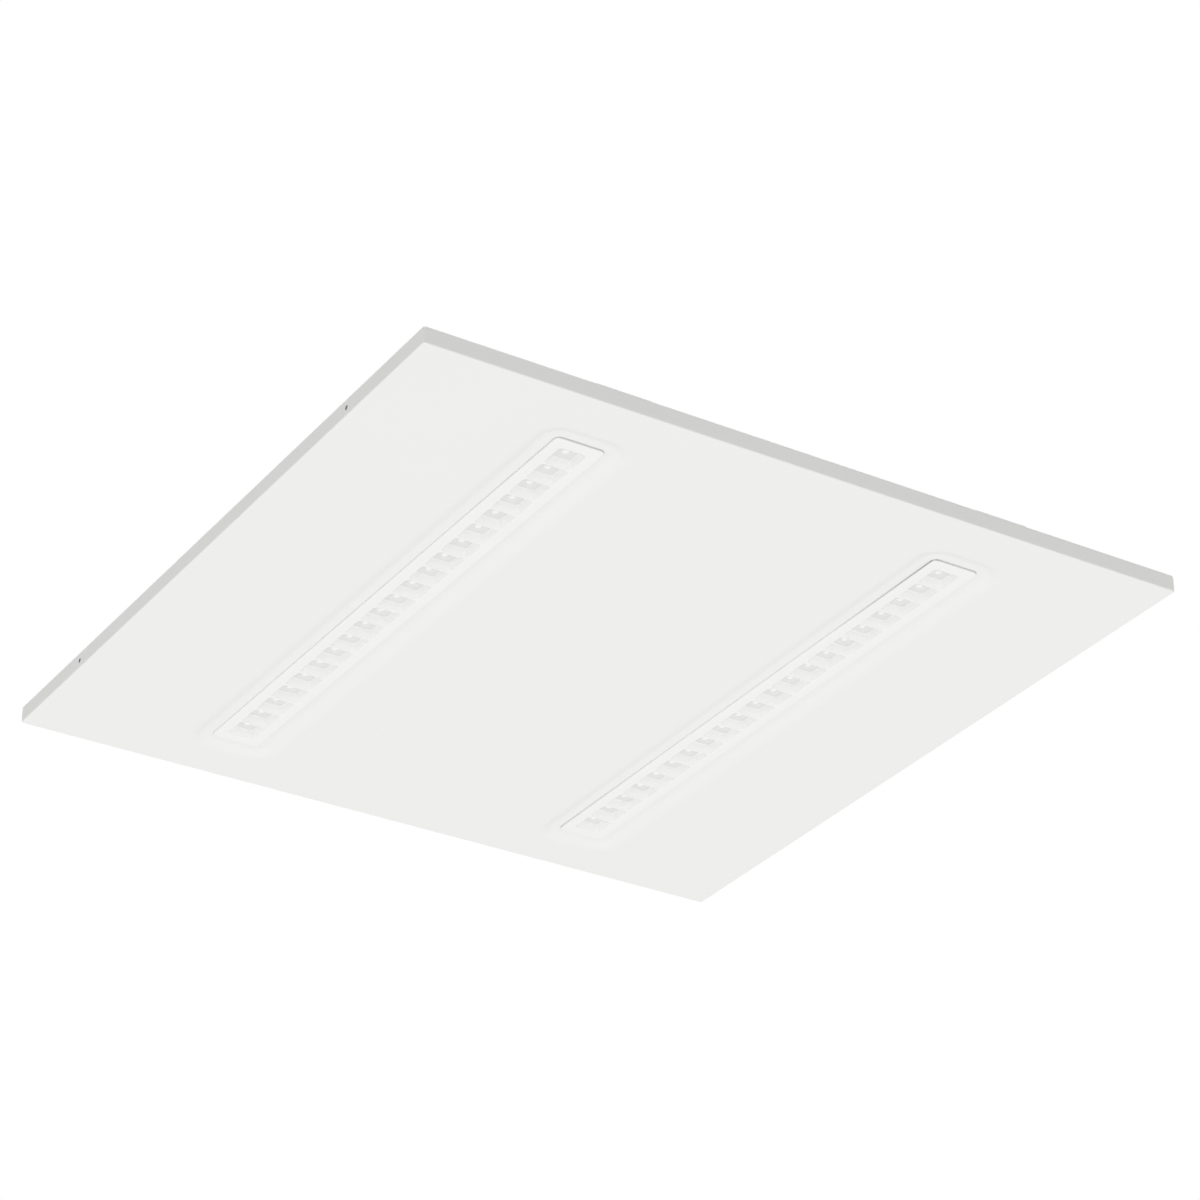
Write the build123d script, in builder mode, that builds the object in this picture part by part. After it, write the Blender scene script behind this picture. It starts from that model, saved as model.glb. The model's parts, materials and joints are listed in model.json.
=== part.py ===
from build123d import *
from math import sqrt
import os

# Square ceiling light that lies in a 600 mm ceiling grid, in millimetres.
# The origin is the centre of the visible underside, +Z points up into the ceiling,
# and the two rows of cells run along Y.

# Face tray, folded from one steel sheet
panel_size = 595.0
wall_height = 13.0
sheet = 0.8
bend_radius = 1.2
corner_radius = 1.5
return_width = 12.0
mitre_gap = 0.6
side_hole_radius = 1.5
side_hole_spacing = 396.0
side_hole_height = 6.0
hanger_hole_radius = 2.6
hanger_hole_spacing = 480.0

# Pressed recess and aperture of each row
row_spacing = 300.0
row_end_margin = 52.5
aperture_width = 37.6
aperture_corner = 3.0
lip_width = 5.0
bevel_width = 12.0
recess_depth = 2.5

# Louvre strip
side_seat_gap = 0.3
end_seat_gap = 1.2
louvre_setback = 1.1
nose_chamfer = 0.4
cell_pitch = 22.4
cell_width = 20.4
cell_rib = 1.5
cell_corner = 1.6
cell_wall_across = 80.0
cell_wall_along = 74.0
cell_end_border = 8.0
flange_lap = 3.2
flange_thickness = 1.4
block_wall = 2.1

# Lens strip, LED board and thermal pad behind the louvre
lens_plate = 2.5
dome_radius = 3.0
dome_height = 1.3
dome_levels = (0.0, 0.55, 0.92)
dome_sides = 8
groove_width = 4.2
groove_depth = 1.0
board_thickness = 1.6
board_width = 22.0
led_side = 3.0
led_height = 0.7
pad_thickness = 1.5
pad_width = 20.0

# Rails that carry the boards
rail_sheet = 1.0
rail_width = 50.0
rail_bend = 1.5
rail_foot_gap = 0.7
tab_width = 42.0
tab_gap = 1.0
leg_end_gap = 1.5
rail_screw_spacing = 28.0

# Hexagon screws
screw_sides = 6
screw_radius = 2.0
screw_clearance = 0.1
head_radius = 3.6
head_height = 2.4
low_head_radius = 3.0
low_head_height = 1.2
recess_side = 1.2
screw_reach = 3.5

# Gear box and lid
gear_sheet = 1.0
gear_overhang = 18.0
gear_foot = 8.0
gear_headroom = 6.0
gear_screw_inset = 9.0
gear_screw_offset = 17.0
lid_clearance = 0.4
lid_skirt = 8.0
lid_tab_width = 16.0
lid_tab_depth = 10.0
lid_screw_head_radius = 4.5
lid_screw_tip = 4.0
lid_hole_clearance = 0.25

# Lid hinge
hinge_spacing = 220.0
knuckle_radius = 2.5
knuckle_stand = 3.2
knuckle_drop = 1.0
lid_knuckle_length = 14.0
box_knuckle_length = 6.0
knuckle_gap = 0.3
pin_radius = 1.25
pin_clearance = 0.05
pin_end = 0.6

# Layout across the gear box, from the front wall to the rear wall
front_clear = 5.0
lane_gap = 4.0
lane_pitch = 6.0
lane_to_connector = 9.0
connector_depth = 12.0
rear_clear = 7.0

# Layout along the gear box, from the cable end
clamp_inset = 20.0
cable_fan = 24.0
wire_run = 34.0

# LED driver
driver_length = 140.0
driver_width = 42.0
driver_height = 26.0
driver_base_height = 2.0
driver_round = 2.5
driver_ear_length = 9.0
driver_ear_width = 11.0
driver_ear_offset = 15.0
driver_terminal_depth = 10.0
driver_terminal_width = 28.0
driver_terminal_height = 9.0
driver_entry_pitch = 6.0

# Supply terminal block and its release buttons
pole_count = 5
pole_pitch = 8.0
terminal_end = 2.0
terminal_depth = 22.0
terminal_height = 18.0
entry_side = 3.6
entry_pitch = 6.0
entry_chamfer = 0.5
entry_depth = 8.0
terminal_chamfer = 2.0
button_side = 5.0
button_clearance = 0.2
button_travel = 1.2
button_proud = 1.6
button_body = 4.5
button_inset = 7.0
button_slot = 0.8

# Cord clamp and cable grommets
clamp_length = 52.0
clamp_depth = 12.0
clamp_base_height = 6.0
clamp_saddle_height = 9.0
clamp_screw_inset = 5.5
clamp_hole_floor = 0.6
clamp_chamfer = 1.0
cable_radius = 5.0
cable_spacing = 20.0
grommet_neck = 7.0
grommet_flange = 9.0
grommet_flange_thickness = 1.5
grommet_clearance = 0.05

# Earth point, wires, clips and connectors
earth_offset = 20.0
earth_ring_radius = 4.5
earth_ring_thickness = 1.0
earth_barrel = 4.0
wire_radius = 0.9
wire_sides = 6
wire_level = 3.5
wire_bend = 3.5
riser_pitch = 6.0
clip_length = 7.0
clip_edge = 2.5
clip_clearance = 0.3
clip_spacing = 120.0
connector_width = 16.0
connector_top = 2.5
connector_clearance = 1.0
connector_chamfer = 0.9
connector_wire_spacing = 6.0

# Heights and positions that follow from the values above
row_x = row_spacing / 2
rows = {"left": -row_x, "right": row_x}
half_panel = panel_size / 2
return_middle = half_panel - sheet - (return_width - sheet) / 2
aperture_length = panel_size - 2 * row_end_margin
lip_outline_width = aperture_width + 2 * lip_width
lip_outline_length = aperture_length + 2 * lip_width
recess_width = lip_outline_width + 2 * bevel_width
recess_length = lip_outline_length + 2 * bevel_width
lip_corner = aperture_corner + lip_width
recess_corner = lip_corner + bevel_width
lip_top = recess_depth + sheet
bevel_sides = [
    (recess_width / 2, recess_length - 2 * recess_corner),
    (recess_length / 2, recess_width - 2 * recess_corner),
]

louvre_width = aperture_width - 2 * side_seat_gap
louvre_length = aperture_length - 2 * end_seat_gap
louvre_corner = aperture_corner - side_seat_gap
cell_length = cell_pitch - cell_rib
cell_count = int((louvre_length - 2 * cell_end_border) // cell_pitch)
board_top = wall_height - pad_thickness
board_bottom = board_top - board_thickness
louvre_back = board_bottom - lens_plate
cell_depth = louvre_back - louvre_setback
dome_curve = (dome_radius ** 2 + dome_height ** 2) / (2 * dome_height)
dome_middle = louvre_back + dome_curve - dome_height
dome_edge = [
    (sqrt(dome_curve ** 2 - (dome_middle - z) ** 2), z)
    for z in (louvre_back - level * dome_height for level in dome_levels)
]
block_width = cell_width + 2 * block_wall
block_length = cell_count * cell_pitch + 2 * block_wall
board_length = cell_count * cell_pitch

rail_top = wall_height + rail_sheet
rail_leg_length = panel_size - 2 * return_width - 2 * leg_end_gap
rail_length = panel_size - 2 * sheet - 2 * tab_gap
screw_hole = screw_radius + screw_clearance

floor_top = rail_top + gear_sheet
gear_top = floor_top + driver_height + gear_headroom
gear_length = row_spacing + 2 * gear_overhang
terminal_length = pole_count * pole_pitch + 2 * terminal_end
device_band = max(driver_width, terminal_length, clamp_length)
inner_width = (front_clear + device_band + lane_gap + lane_pitch
               + lane_to_connector + connector_depth + rear_clear)
gear_width = inner_width + 2 * gear_sheet
front_y = -inner_width / 2
device_y = front_y + front_clear + device_band / 2
lane_near = front_y + front_clear + device_band + lane_gap
lane_far = lane_near + lane_pitch
connector_front = lane_far + lane_to_connector
connector_y = connector_front + connector_depth / 2
window_width = connector_width + 2 * connector_clearance
window_depth = connector_depth + 2 * connector_clearance
cable_end_x = -gear_length / 2
clamp_x = cable_end_x + gear_sheet + clamp_inset
terminal_front = clamp_x + clamp_depth / 2 + cable_fan
terminal_back = terminal_front + terminal_depth
terminal_x = (terminal_front + terminal_back) / 2
terminal_top = floor_top + terminal_height
driver_left = terminal_back + wire_run
driver_right = driver_left + driver_length
driver_x = (driver_left + driver_right) / 2
wire_z = floor_top + wire_level
gear_screw_x = row_x - gear_screw_offset
gear_screw_y = gear_width / 2 - gear_screw_inset
lid_screw_y = front_y + lid_tab_depth / 2
hinge_y = gear_width / 2 + knuckle_stand
hinge_z = gear_top - knuckle_drop
box_knuckle_start = lid_knuckle_length / 2 + knuckle_gap
clamp_top = floor_top + clamp_base_height + clamp_saddle_height
clamp_screw_y = clamp_length / 2 - clamp_screw_inset
cable_z = floor_top + clamp_base_height + cable_radius
earth_x = terminal_back + earth_offset
earth_y = device_y + (pole_count - 1) / 2 * pole_pitch
clip_y = (lane_near + lane_far) / 2
clip_x = [driver_x - clip_spacing / 2, driver_x + clip_spacing / 2]
driver_ears = [
    (driver_left - driver_ear_length / 2, device_y + driver_ear_offset),
    (driver_right + driver_ear_length / 2, device_y - driver_ear_offset),
]

os.makedirs("parts", exist_ok=True)


def save(builder, label):
    builder.part.label = label
    export_step(builder.part, f"parts/{label}.step")


def facing_x(x, y, z):
    return Plane((x, y, z), x_dir=(0, 1, 0), z_dir=(1, 0, 0))


def hex_screws(places, seat_z, tip_z, radius=head_radius, height=head_height):
    with BuildPart() as screws:
        with BuildSketch(Plane.XY.offset(seat_z)):
            with Locations(places):
                RegularPolygon(radius, screw_sides)
        extrude(amount=height)
        with BuildSketch(Plane.XY.offset(tip_z)):
            with Locations(places):
                RegularPolygon(screw_radius, screw_sides)
        extrude(amount=seat_z - tip_z)
    return screws


def wires(routes):
    with BuildPart() as bundle:
        for route in routes:
            with BuildLine(Plane.XY.offset(wire_z)) as path:
                FilletPolyline(*route, radius=wire_bend)
            with BuildSketch(Plane(path.line @ 0, z_dir=path.line % 0)):
                RegularPolygon(wire_radius, wire_sides)
            sweep(path=path.line)
    return bundle


def bevel_section(plane):
    with BuildSketch(plane) as section:
        with BuildLine():
            under = TangentArc((0, 0), (bevel_width / 2, recess_depth / 2), tangent=(1, 0))
            TangentArc(under @ 1, (bevel_width, recess_depth), tangent=under % 1)
            Line((bevel_width, recess_depth), (bevel_width, lip_top))
            over = TangentArc((0, sheet), (bevel_width / 2, recess_depth / 2 + sheet), tangent=(1, 0))
            TangentArc(over @ 1, (bevel_width, lip_top), tangent=over % 1)
            Line((0, sheet), (0, 0))
        make_face()
    return section.sketch


# Face tray: folded box, inward return at the wall tops, two pressed recesses with apertures
with BuildPart() as face_tray:
    with BuildSketch():
        RectangleRounded(panel_size, panel_size, corner_radius)
    extrude(amount=wall_height)
    fillet(face_tray.faces().sort_by(Axis.Z)[0].edges(), bend_radius)
    offset(amount=-sheet, openings=face_tray.faces().sort_by(Axis.Z)[-1])
    with BuildSketch(Plane.XY.offset(wall_height - sheet)):
        Rectangle(panel_size - 2 * sheet, panel_size - 2 * sheet)
        Rectangle(panel_size - 2 * return_width, panel_size - 2 * return_width, mode=Mode.SUBTRACT)
        for angle in (45, -45):
            Rectangle(2 * panel_size, mitre_gap, rotation=angle, mode=Mode.SUBTRACT)
    extrude(amount=sheet)
    with BuildSketch():
        with Locations((-row_x, 0), (row_x, 0)):
            RectangleRounded(recess_width, recess_length, recess_corner)
    extrude(amount=sheet, mode=Mode.SUBTRACT)
    for x in rows.values():
        for quarter in range(4):
            half, run = bevel_sides[quarter % 2]
            outward = Vector(1, 0, 0).rotate(Axis.Z, 90 * quarter)
            along = Vector(0, 1, 0).rotate(Axis.Z, 90 * quarter)
            rim = Vector(x, 0, 0) + outward * half
            corner = rim - outward * recess_corner + along * (run / 2)
            start = Plane(rim - along * (run / 2), x_dir=-outward, z_dir=along)
            extrude(bevel_section(start), amount=run)
            revolve(bevel_section(start.offset(run)), axis=Axis(corner, (0, 0, 1)), revolution_arc=90)
    with BuildSketch(Plane.XY.offset(recess_depth)):
        with Locations((-row_x, 0), (row_x, 0)):
            RectangleRounded(lip_outline_width, lip_outline_length, lip_corner)
            RectangleRounded(aperture_width, aperture_length, aperture_corner, mode=Mode.SUBTRACT)
    extrude(amount=sheet)
    with BuildSketch(Plane.YZ.offset(-half_panel)):
        with GridLocations(side_hole_spacing, 0, 2, 1):
            with Locations((0, side_hole_height)):
                Circle(side_hole_radius)
    extrude(amount=panel_size, mode=Mode.SUBTRACT)
    with BuildSketch(Plane.XY.offset(wall_height)):
        with GridLocations(2 * return_middle, hanger_hole_spacing, 2, 2):
            Circle(hanger_hole_radius)
        for x in rows.values():
            with Locations((x, 0)):
                with GridLocations(rail_screw_spacing, 2 * return_middle, 2, 2):
                    RegularPolygon(screw_hole, screw_sides)
    extrude(amount=-sheet, mode=Mode.SUBTRACT)
save(face_tray, "face_tray")

# Cup that one louvre cell leaves open, narrowing from its mouth to its floor
with BuildPart() as cell_cup:
    with BuildSketch(Plane.XZ):
        with Locations((0, louvre_setback)):
            Trapezoid(cell_width, cell_depth, cell_wall_across, align=(Align.CENTER, Align.MIN))
    extrude(amount=cell_length / 2, both=True)
    with BuildSketch(Plane.YZ):
        with Locations((0, louvre_setback)):
            Trapezoid(cell_length, cell_depth, cell_wall_along, align=(Align.CENTER, Align.MIN))
    extrude(amount=cell_width / 2, both=True, mode=Mode.INTERSECT)
    chamfer(cell_cup.edges().sort_by(SortBy.LENGTH)[:4], cell_corner)

# Dome of one lens, in facets that follow its curve
with BuildPart() as lens_dome:
    for turn in range(dome_sides // 2):
        across = Vector(1, 0, 0).rotate(Axis.Z, turn * 360 / dome_sides)
        with BuildSketch(Plane((0, 0, 0), x_dir=across, z_dir=across.cross(Vector(0, 0, 1)))):
            Polygon(*dome_edge, *((-r, z) for r, z in reversed(dome_edge)), align=None)
        extrude(amount=dome_radius, both=True, mode=Mode.INTERSECT if turn else Mode.ADD)

# Optics and rail of each row
for side, x in rows.items():
    # Louvre strip: nose in the aperture, flange on the lip, cell block behind, tapered cells through
    with BuildPart() as louvre:
        with BuildSketch(Plane((x, 0, louvre_setback))):
            RectangleRounded(louvre_width, louvre_length, louvre_corner)
        extrude(amount=lip_top - louvre_setback)
        chamfer(louvre.faces().sort_by(Axis.Z)[0].edges(), nose_chamfer)
        with BuildSketch(Plane((x, 0, lip_top))):
            RectangleRounded(aperture_width + 2 * flange_lap, aperture_length + 2 * flange_lap, lip_corner)
        extrude(amount=flange_thickness)
        with BuildSketch(Plane((x, 0, lip_top))):
            Rectangle(block_width, block_length)
        extrude(amount=louvre_back - lip_top)
        with Locations((x, 0, 0)):
            with GridLocations(0, cell_pitch, 1, cell_count):
                add(cell_cup.part, mode=Mode.SUBTRACT)
    save(louvre, f"louvre_{side}")

    # Lens strip: plate with a dome in each cell and a groove over the LEDs
    with BuildPart() as lens_strip:
        with BuildSketch(Plane((x, 0, louvre_back))):
            Rectangle(block_width, block_length)
        extrude(amount=lens_plate)
        with BuildSketch(Plane((x, 0, board_bottom))):
            Rectangle(groove_width, board_length)
        extrude(amount=-groove_depth, mode=Mode.SUBTRACT)
        with Locations((x, 0, 0)):
            with GridLocations(0, cell_pitch, 1, cell_count):
                add(lens_dome.part)
    save(lens_strip, f"lens_strip_{side}")

    # LED board
    with BuildPart() as led_board:
        with BuildSketch(Plane((x, 0, board_bottom))):
            Rectangle(board_width, board_length)
        extrude(amount=board_thickness)
    save(led_board, f"led_board_{side}")

    # LED packages under the board
    with BuildPart() as led_packages:
        with BuildSketch(Plane((x, 0, board_bottom))):
            with GridLocations(0, cell_pitch, 1, cell_count):
                Rectangle(led_side, led_side)
        extrude(amount=-led_height)
    save(led_packages, f"led_packages_{side}")

    # Thermal pad between board and rail, open round the connector
    with BuildPart() as thermal_pad:
        with BuildSketch(Plane((x, 0, board_top))):
            Rectangle(pad_width, board_length)
            with Locations((0, connector_y)):
                Rectangle(window_width, window_depth, mode=Mode.SUBTRACT)
        extrude(amount=pad_thickness)
    save(thermal_pad, f"thermal_pad_{side}")

    # Rail: web on the returns of the tray, two legs beside the optics
    with BuildPart() as led_rail:
        with BuildSketch(Plane((x, 0, lip_top + rail_foot_gap))):
            Rectangle(rail_width, rail_leg_length)
        extrude(amount=rail_top - lip_top - rail_foot_gap)
        fillet(led_rail.faces().sort_by(Axis.Z)[-1].edges().filter_by(Axis.Y), rail_bend)
        with BuildSketch(Plane((x, 0, lip_top + rail_foot_gap))):
            Rectangle(rail_width - 2 * rail_sheet, rail_leg_length)
        extrude(amount=wall_height - lip_top - rail_foot_gap, mode=Mode.SUBTRACT)
        with BuildSketch(Plane((x, 0, wall_height))):
            Rectangle(tab_width, rail_length)
        extrude(amount=rail_sheet)
        with BuildSketch(Plane((x, 0, wall_height))):
            with GridLocations(rail_screw_spacing, 2 * return_middle, 2, 2):
                RegularPolygon(screw_hole, screw_sides)
            with GridLocations(0, 2 * gear_screw_y, 1, 2):
                with Locations((gear_screw_offset * (1 if x < 0 else -1), 0)):
                    RegularPolygon(screw_hole, screw_sides)
            with Locations((0, connector_y)):
                Rectangle(window_width, window_depth)
        extrude(amount=rail_sheet, mode=Mode.SUBTRACT)
    save(led_rail, f"led_rail_{side}")

    # Connector on the back of the board, standing up into the gear box
    with BuildPart() as board_connector:
        with BuildSketch(Plane((x, connector_y, board_top))):
            Rectangle(connector_width, connector_depth)
        extrude(amount=wire_z + connector_top - board_top)
        chamfer(board_connector.faces().sort_by(Axis.Z)[-1].edges(), connector_chamfer)
    save(board_connector, f"board_connector_{side}")

rail_screw_places = [
    (x + dx, y)
    for x in rows.values()
    for dx in (-rail_screw_spacing / 2, rail_screw_spacing / 2)
    for y in (-return_middle, return_middle)
]
rail_screw_tip = wall_height - sheet - screw_reach
save(hex_screws(rail_screw_places, rail_top, rail_screw_tip, low_head_radius, low_head_height), "rail_screws")

# Gear box: folded channel across the rails, with a lid tab and hinge knuckles
with BuildPart() as gear_box:
    with BuildSketch(facing_x(cable_end_x, 0, rail_top)):
        with Locations((0, (gear_top - rail_top) / 2)):
            Rectangle(gear_width, gear_top - rail_top)
        with Locations((0, (gear_top - rail_top + gear_sheet) / 2)):
            Rectangle(inner_width, gear_top - floor_top, mode=Mode.SUBTRACT)
    extrude(amount=gear_length)
    with BuildSketch(Plane.XY.offset(rail_top)):
        with GridLocations(2 * gear_screw_x, 2 * gear_screw_y, 2, 2):
            RegularPolygon(screw_hole, screw_sides)
        with Locations(driver_ears + [(earth_x, earth_y)]):
            RegularPolygon(screw_hole, screw_sides)
        with Locations((-row_x, connector_y), (row_x, connector_y)):
            Rectangle(window_width, window_depth)
    extrude(amount=gear_sheet, mode=Mode.SUBTRACT)
    with BuildSketch(Plane.XY.offset(gear_top - gear_sheet)):
        with Locations((0, lid_screw_y)):
            Rectangle(lid_tab_width, lid_tab_depth)
            Circle(screw_radius + lid_hole_clearance, mode=Mode.SUBTRACT)
    extrude(amount=gear_sheet)
    for middle_x in (-hinge_spacing / 2, hinge_spacing / 2):
        for start in (-box_knuckle_start - box_knuckle_length, box_knuckle_start):
            with BuildSketch(facing_x(middle_x + start, hinge_y, hinge_z)):
                Circle(knuckle_radius)
                with Locations((-knuckle_stand / 2, -knuckle_radius / 2)):
                    Rectangle(knuckle_stand, knuckle_radius)
                Circle(pin_radius + pin_clearance, mode=Mode.SUBTRACT)
            extrude(amount=box_knuckle_length)
save(gear_box, "gear_box")

# End plates of the gear box, each with a foot on the floor, the one at the cable end with two holes
for name, outer_x, inward in (("gear_end_in", cable_end_x, 1), ("gear_end_out", -cable_end_x, -1)):
    with BuildPart() as gear_end:
        with BuildSketch(Plane((outer_x + inward * gear_sheet / 2, 0, floor_top))):
            Rectangle(gear_sheet, inner_width)
        extrude(amount=gear_top - floor_top)
        with BuildSketch(Plane((outer_x + inward * gear_foot / 2, 0, floor_top))):
            Rectangle(gear_foot, inner_width)
        extrude(amount=gear_sheet)
        if inward > 0:
            with BuildSketch(facing_x(outer_x, device_y, cable_z)):
                with GridLocations(cable_spacing, 0, 2, 1):
                    Circle(grommet_neck + grommet_clearance)
            extrude(amount=gear_sheet, mode=Mode.SUBTRACT)
    save(gear_end, name)

gear_screw_places = [(sx * gear_screw_x, sy * gear_screw_y) for sx in (-1, 1) for sy in (-1, 1)]
save(hex_screws(gear_screw_places, floor_top, wall_height - screw_reach), "gear_box_screws")

# Lid: plate with a skirt on three sides and a knuckle at each hinge
lid_front = -gear_width / 2 - lid_clearance - gear_sheet
lid_rear = gear_width / 2
lid_half = gear_length / 2 + lid_clearance + gear_sheet
with BuildPart() as gear_lid:
    with BuildSketch(Plane.XY.offset(gear_top)):
        with Locations((0, (lid_front + lid_rear) / 2)):
            Rectangle(2 * lid_half, lid_rear - lid_front)
        with Locations((0, lid_screw_y)):
            Circle(screw_radius + lid_hole_clearance, mode=Mode.SUBTRACT)
        with Locations((-hinge_spacing / 2, 0), (hinge_spacing / 2, 0)):
            with Locations((0, (lid_rear + hinge_y) / 2)):
                Rectangle(lid_knuckle_length, knuckle_stand)
    extrude(amount=gear_sheet)
    with BuildSketch(Plane.XY.offset(gear_top)):
        with Locations((0, (lid_front + lid_rear) / 2)):
            Rectangle(2 * lid_half, lid_rear - lid_front)
        with Locations((0, (lid_front + gear_sheet + lid_rear) / 2)):
            Rectangle(2 * lid_half - 2 * gear_sheet, lid_rear - lid_front - gear_sheet, mode=Mode.SUBTRACT)
    extrude(amount=-lid_skirt)
    for middle_x in (-hinge_spacing / 2, hinge_spacing / 2):
        with BuildSketch(facing_x(middle_x - lid_knuckle_length / 2, hinge_y, hinge_z)):
            Circle(knuckle_radius)
        extrude(amount=lid_knuckle_length)
        with BuildSketch(facing_x(middle_x - lid_knuckle_length / 2, hinge_y, hinge_z)):
            Circle(pin_radius + pin_clearance)
        extrude(amount=lid_knuckle_length, mode=Mode.SUBTRACT)
save(gear_lid, "gear_lid")

# Hinge pins
pin_length = lid_knuckle_length + 2 * (knuckle_gap + box_knuckle_length + pin_end)
with BuildPart() as hinge_pins:
    for middle_x in (-hinge_spacing / 2, hinge_spacing / 2):
        with BuildSketch(facing_x(middle_x - pin_length / 2, hinge_y, hinge_z)):
            Circle(pin_radius)
        extrude(amount=pin_length)
save(hinge_pins, "hinge_pins")

# Captive screw of the lid, with a cross recess
lid_top = gear_top + gear_sheet
lid_screw_end = gear_top - lid_screw_tip
with BuildPart() as lid_screw:
    with BuildSketch(Plane((0, lid_screw_y, lid_top))):
        Circle(lid_screw_head_radius)
    extrude(amount=head_height)
    chamfer(lid_screw.edges().group_by(Axis.Z)[-1], head_height / 4)
    with BuildSketch(Plane((0, lid_screw_y, lid_screw_end))):
        Circle(screw_radius)
    extrude(amount=lid_top - lid_screw_end)
    with BuildSketch(Plane((0, lid_screw_y, lid_top + head_height))):
        Rectangle(lid_screw_head_radius, recess_side)
        Rectangle(recess_side, lid_screw_head_radius)
    extrude(amount=-head_height / 2, mode=Mode.SUBTRACT)
save(lid_screw, "lid_screw")

# Driver base with two ears
driver_base_top = floor_top + driver_base_height
with BuildPart() as driver_base:
    with BuildSketch(Plane.XY.offset(floor_top)):
        with Locations((driver_x, device_y)):
            RectangleRounded(driver_length, driver_width, driver_round)
        with Locations(driver_ears):
            Rectangle(driver_ear_length, driver_ear_width)
            RegularPolygon(screw_hole, screw_sides, mode=Mode.SUBTRACT)
    extrude(amount=driver_base_height)
save(driver_base, "driver_base")

# Driver cover with a notch at each end for the terminals
with BuildPart() as driver_cover:
    with BuildSketch(Plane.XY.offset(driver_base_top)):
        with Locations((driver_x, device_y)):
            RectangleRounded(driver_length, driver_width, driver_round)
    extrude(amount=driver_height - driver_base_height)
    chamfer(driver_cover.faces().sort_by(Axis.Z)[-1].edges(), driver_round / 2)
    with BuildSketch(Plane.XY.offset(driver_base_top)):
        with Locations((driver_x, device_y)):
            with GridLocations(driver_length - driver_terminal_depth, 0, 2, 1):
                Rectangle(driver_terminal_depth, driver_terminal_width)
    extrude(amount=driver_terminal_height, mode=Mode.SUBTRACT)
save(driver_cover, "driver_cover")

driver_terminals = {
    "driver_input_terminal": driver_left + driver_terminal_depth / 2,
    "driver_output_terminal": driver_right - driver_terminal_depth / 2,
}
for name, x in driver_terminals.items():
    with BuildPart() as driver_terminal:
        with BuildSketch(Plane((x, device_y, driver_base_top))):
            Rectangle(driver_terminal_depth, driver_terminal_width)
        extrude(amount=driver_terminal_height)
    save(driver_terminal, name)

save(hex_screws(driver_ears, driver_base_top, rail_top), "driver_screws")

# Supply terminal block with two wire entries and one button well for each pole
button_x = terminal_front + button_inset
well_side = button_side + 2 * button_clearance
well_depth = button_body + button_travel + button_clearance
with BuildPart() as terminal_block:
    with BuildSketch(Plane((terminal_x, device_y, floor_top))):
        Rectangle(terminal_depth, terminal_length)
    extrude(amount=terminal_height)
    chamfer(terminal_block.faces().sort_by(Axis.Z)[-1].edges().filter_by(Axis.Y), terminal_chamfer)
    with BuildSketch(Plane((button_x, device_y, terminal_top))):
        with GridLocations(0, pole_pitch, 1, pole_count):
            Rectangle(well_side, well_side)
    extrude(amount=-well_depth, mode=Mode.SUBTRACT)
    with BuildSketch(facing_x(terminal_front, device_y, floor_top + entry_pitch)):
        with GridLocations(pole_pitch, entry_pitch, pole_count, 2):
            Rectangle(entry_side, entry_side)
    extrude(amount=entry_depth, mode=Mode.SUBTRACT)
    chamfer(terminal_block.faces().sort_by(Axis.X)[0].inner_wires().edges(), entry_chamfer)
save(terminal_block, "terminal_block")

for pole in range(pole_count):
    y = device_y + (pole - (pole_count - 1) / 2) * pole_pitch
    with BuildPart() as release_button:
        with BuildSketch(Plane((button_x, y, terminal_top - button_body))):
            Rectangle(button_side, button_side)
        extrude(amount=button_body + button_proud)
        with BuildSketch(Plane((button_x, y, terminal_top + button_proud))):
            Rectangle(button_side, button_slot)
        extrude(amount=-button_slot, mode=Mode.SUBTRACT)
    save(release_button, f"release_button_{pole + 1}")

# Cord clamp: base on the floor, saddle with two arches, screws that lift with the saddle
clamp_screw_places = [(clamp_x, device_y - clamp_screw_y), (clamp_x, device_y + clamp_screw_y)]
clamp_split = floor_top + clamp_base_height
with BuildPart() as clamp_base:
    with BuildSketch(Plane((clamp_x, device_y, floor_top))):
        Rectangle(clamp_depth, clamp_length)
    extrude(amount=clamp_base_height)
    with BuildSketch(Plane.XY.offset(floor_top + clamp_hole_floor)):
        with Locations(clamp_screw_places):
            RegularPolygon(screw_hole, screw_sides)
    extrude(amount=clamp_base_height, mode=Mode.SUBTRACT)
save(clamp_base, "clamp_base")

with BuildPart() as clamp_saddle:
    with BuildSketch(Plane((clamp_x, device_y, clamp_split))):
        Rectangle(clamp_depth, clamp_length)
    extrude(amount=clamp_saddle_height)
    chamfer(clamp_saddle.faces().sort_by(Axis.Z)[-1].edges(), clamp_chamfer)
    with BuildSketch(facing_x(clamp_x - clamp_depth / 2, device_y, clamp_split)):
        with GridLocations(cable_spacing, 0, 2, 1):
            Circle(cable_radius)
    extrude(amount=clamp_depth, mode=Mode.SUBTRACT)
    with BuildSketch(Plane.XY.offset(clamp_split)):
        with Locations(clamp_screw_places):
            RegularPolygon(screw_hole, screw_sides)
    extrude(amount=clamp_saddle_height, mode=Mode.SUBTRACT)
save(clamp_saddle, "clamp_saddle")

save(hex_screws(clamp_screw_places, clamp_top, floor_top + 2 * clamp_hole_floor), "clamp_screws")

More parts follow.
